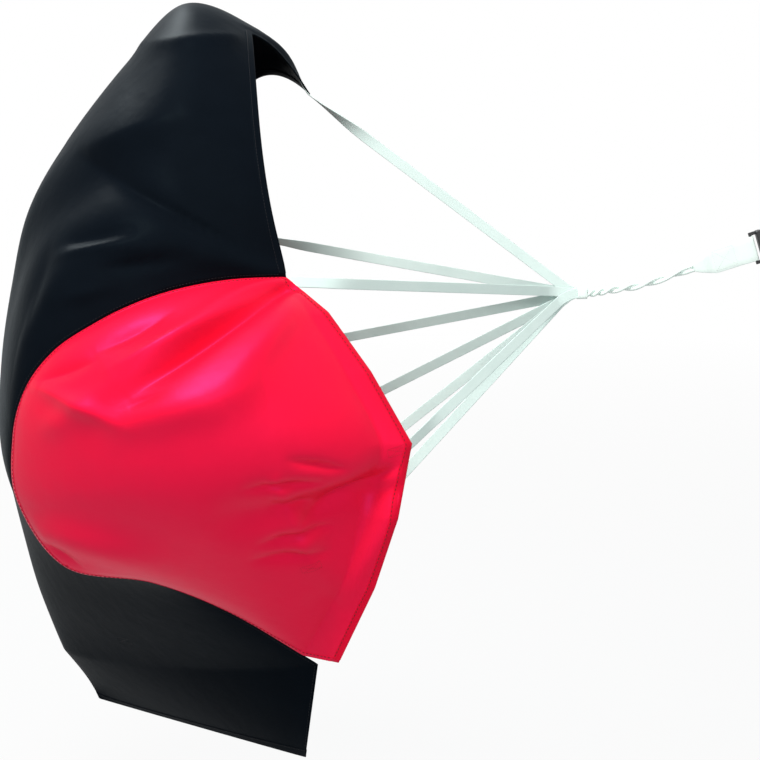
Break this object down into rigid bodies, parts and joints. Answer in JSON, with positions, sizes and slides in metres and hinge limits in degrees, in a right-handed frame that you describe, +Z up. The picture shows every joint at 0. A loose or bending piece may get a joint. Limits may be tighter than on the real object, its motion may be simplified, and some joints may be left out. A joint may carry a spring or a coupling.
{
  "type": "speed parachute",
  "caption": "Running drill parachute: open cloth canopy with black and red panels, flat white straps, twisted tow line, quick release buckle and padded waist belt.",
  "frame": {"origin": "middle of the back pad's inner face, where the belt rests on the runner's back", "axes": "+X the way the runner runs, out of the pad's inner face; +Z up; the canopy trails towards -X and shows its red near panel towards -Y"},
  "size_m": [1.4689, 0.9003, 1.1029],
  "materials": {
    "black_cloth": "satin",
    "red_cloth": "satin",
    "white_tape": "matte",
    "black_webbing": "matte",
    "black_plastic": "satin",
    "pad_lining": "matte",
    "pad_foam": "matte",
    "steel": "satin"
  },
  "bodies": {
    "harness": {"pad_lining": "pad_lining", "pad_foam": "pad_foam", "pad_cover": "black_webbing", "pad_keeper_left": "black_webbing", "pad_keeper_right": "black_webbing", "belt_webbing": "black_webbing", "belt_socket": "black_plastic", "anchor_bracket": "black_plastic", "anchor_pin": "steel"},
    "front_plug": {"belt_plug": "black_plastic", "belt_adjuster": "black_webbing"},
    "slider": {"belt_slider": "black_plastic"},
    "release": {"release_loop": "black_webbing", "release_socket": "black_plastic"},
    "plug": {"release_plug": "black_plastic"},
    "chute": {"tow_tab": "white_tape", "tow_strand_a": "white_tape", "tow_strand_b": "white_tape", "knot_collar": "white_tape", "strap_top_middle": "white_tape", "strap_top_far": "white_tape", "strap_top_near": "white_tape", "strap_far_middle": "white_tape", "strap_bottom_far": "white_tape", "strap_near_middle": "white_tape", "strap_bottom_near": "white_tape", "strap_bottom_middle": "white_tape", "black_strip": "black_cloth", "red_side_near": "red_cloth", "red_side_far": "red_cloth", "hem_near": "red_cloth", "hem_far": "red_cloth", "hem_top": "black_cloth", "hem_bottom": "black_cloth"}
  },
  "joints": [
    {"name": "tow_swing", "type": "hinge", "parent": "harness", "child": "release", "pos_m": [-0.035, 0, 0], "axis": [-0.2924, 0, 0.9563], "range_deg": [-45, 45]},
    {"name": "tow_release", "type": "slide", "parent": "release", "child": "plug", "axis": [-0.9563, 0, -0.2924], "range_m": [0, 0.026]},
    {"name": "tab_swing", "type": "hinge", "parent": "plug", "child": "chute", "pos_m": [-0.11533, 0, -0.02456], "axis": [-0.2924, 0, 0.9563], "range_deg": [-30, 30]},
    {"name": "belt_release", "type": "slide", "parent": "harness", "child": "front_plug", "axis": [0, -1, 0], "range_m": [0, 0.026]},
    {"name": "slider_slide", "type": "slide", "parent": "harness", "child": "slider", "axis": [0, 1, 0], "range_m": [-0.003, 0.003]}
  ]
}
